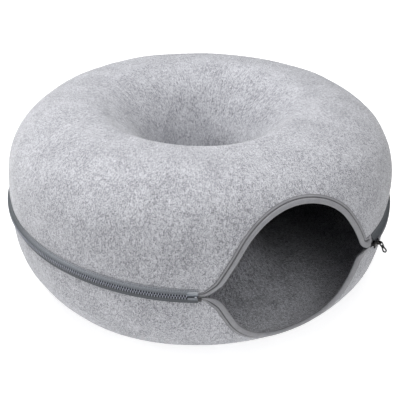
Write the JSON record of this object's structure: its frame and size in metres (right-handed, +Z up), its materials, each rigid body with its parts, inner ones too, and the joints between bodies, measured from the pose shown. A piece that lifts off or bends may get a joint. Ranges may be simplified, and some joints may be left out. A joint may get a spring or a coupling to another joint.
{
  "type": "donut cat tunnel",
  "caption": "Grey felt cat tunnel in the shape of a donut, with a hole through its middle, a bound arched mouth in its side and a zip round its outer edge.",
  "frame": {"origin": "on the floor, on the axis of the ring, in the middle of its base", "axes": "+Z up along the axis of the ring; -Y towards the viewer of the picture; the middle of the mouth is turned 26.8 degrees from -Y towards +X"},
  "size_m": [0.5997, 0.6001, 0.275],
  "materials": {
    "felt": "moulded grey melange needle felt",
    "binding": "woven ribbed binding tape",
    "zip_tape": "woven zip tape",
    "zip_coil": "nylon coil",
    "zip_end_box": "smooth moulded plastic",
    "zip_metal": "black plated"
  },
  "bodies": {
    "root": {"felt_upper": "felt", "felt_lower": "felt", "binding_upper": "binding", "binding_lower": "binding", "zip_tape_upper": "zip_tape", "zip_tape_lower": "zip_tape", "zip_coil": "zip_coil", "zip_end_box": "zip_end_box", "zip_slider": "zip_metal", "zip_pull": "zip_metal"}
  },
  "joints": []
}
